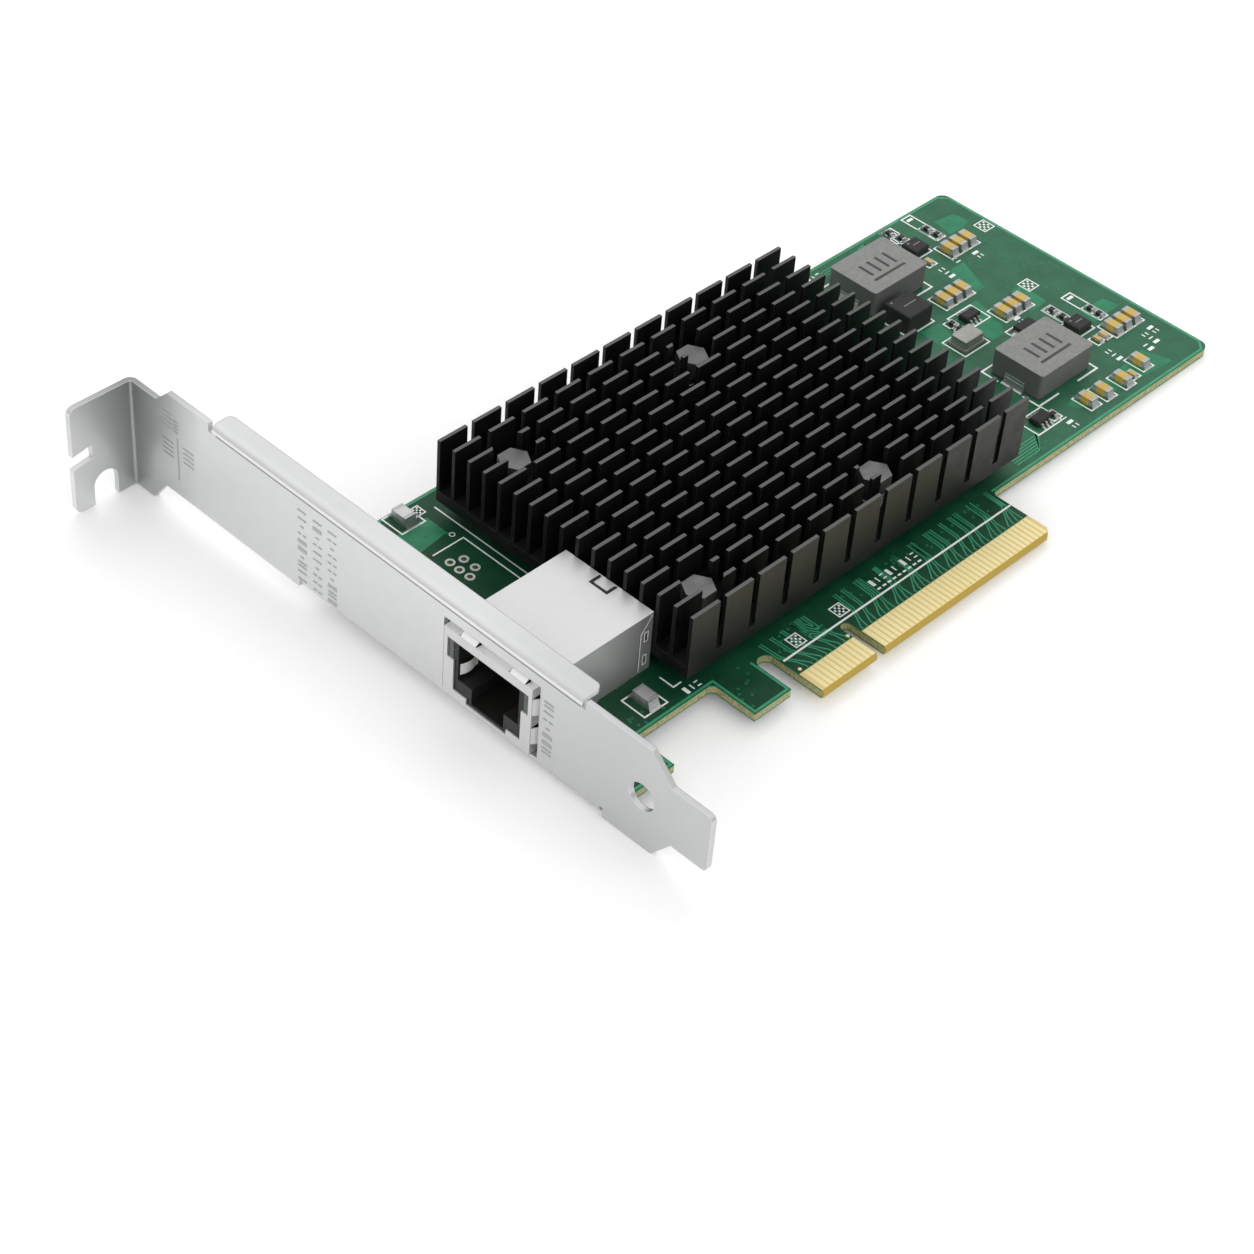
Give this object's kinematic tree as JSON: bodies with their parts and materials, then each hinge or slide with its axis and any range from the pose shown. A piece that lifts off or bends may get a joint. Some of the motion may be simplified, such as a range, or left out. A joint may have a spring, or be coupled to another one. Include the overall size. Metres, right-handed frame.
{
  "type": "network interface card",
  "caption": "Half-length network interface card with a finned heatsink, a shielded modular jack, an edge connector and a full-height mounting bracket.",
  "frame": {"origin": "centre line of the edge connector's key notch, at the contact tips, half way through the board", "axes": "+X from the bracket to the board's far end, +Y from the contacts to the bracket's tab, +Z out of the component side"},
  "size_m": [0.1584, 0.12, 0.0226],
  "materials": {
    "bracket_steel": "satin nickel-plated steel",
    "shield_metal": "bright tin-plated sheet",
    "screw_steel": "nickel-plated steel",
    "spring_steel": "drawn steel wire",
    "board_laminate": "green solder mask over glass-fibre laminate",
    "contact_gold": "gold-plated copper",
    "heatsink_black": "black anodised aluminium",
    "pad_grey": "soft thermal pad",
    "carrier_laminate": "chip carrier laminate",
    "lid_nickel": "nickel-plated copper lid",
    "insert_black": "black moulded plastic",
    "magnetics_black": "black potting compound",
    "light_pipe_clear": "clear moulded light pipe",
    "led_body": "diffused diode body",
    "tin_solder": "tin-plated metal",
    "inductor_grey": "pressed powder alloy, grey",
    "package_black": "black epoxy moulding",
    "can_metal": "plated crystal lid",
    "ceramic_base": "grey ceramic",
    "capacitor_tan": "tan ceramic",
    "resistor_black": "black glazed film",
    "chassis_cap_grey": "pale plated body"
  },
  "bodies": {
    "root": {"bracket": "bracket_steel", "bracket_screws": "screw_steel", "circuit_board": "board_laminate", "edge_contacts_component_side": "contact_gold", "edge_contacts_solder_side": "contact_gold", "heatsink": "heatsink_black", "heatsink_screws": "screw_steel", "heatsink_springs": "spring_steel", "heatsink_nuts": "screw_steel", "thermal_pad": "pad_grey", "controller_carrier": "carrier_laminate", "controller_lid": "lid_nickel", "jack_shield": "shield_metal", "jack_insert": "insert_black", "jack_contacts": "contact_gold", "jack_light_pipes": "light_pipe_clear", "jack_leds": "led_body", "jack_magnetics": "magnetics_black", "jack_pins": "tin_solder", "inductor_bodies": "inductor_grey", "inductor_terminals": "tin_solder", "converter_packages": "package_black", "diode_body": "package_black", "diode_terminals": "tin_solder", "small_chip_bodies": "package_black", "small_chip_leads": "tin_solder", "clock_base": "ceramic_base", "clock_lid": "can_metal", "capacitor_bodies": "capacitor_tan", "capacitor_ends": "tin_solder", "small_capacitor_bodies": "capacitor_tan", "small_capacitor_ends": "tin_solder", "resistor_bodies": "resistor_black", "resistor_ends": "tin_solder", "chassis_capacitor_bodies": "chassis_cap_grey", "chassis_capacitor_ends": "tin_solder", "header_pads": "tin_solder", "gold_test_pads": "contact_gold"}
  },
  "joints": []
}
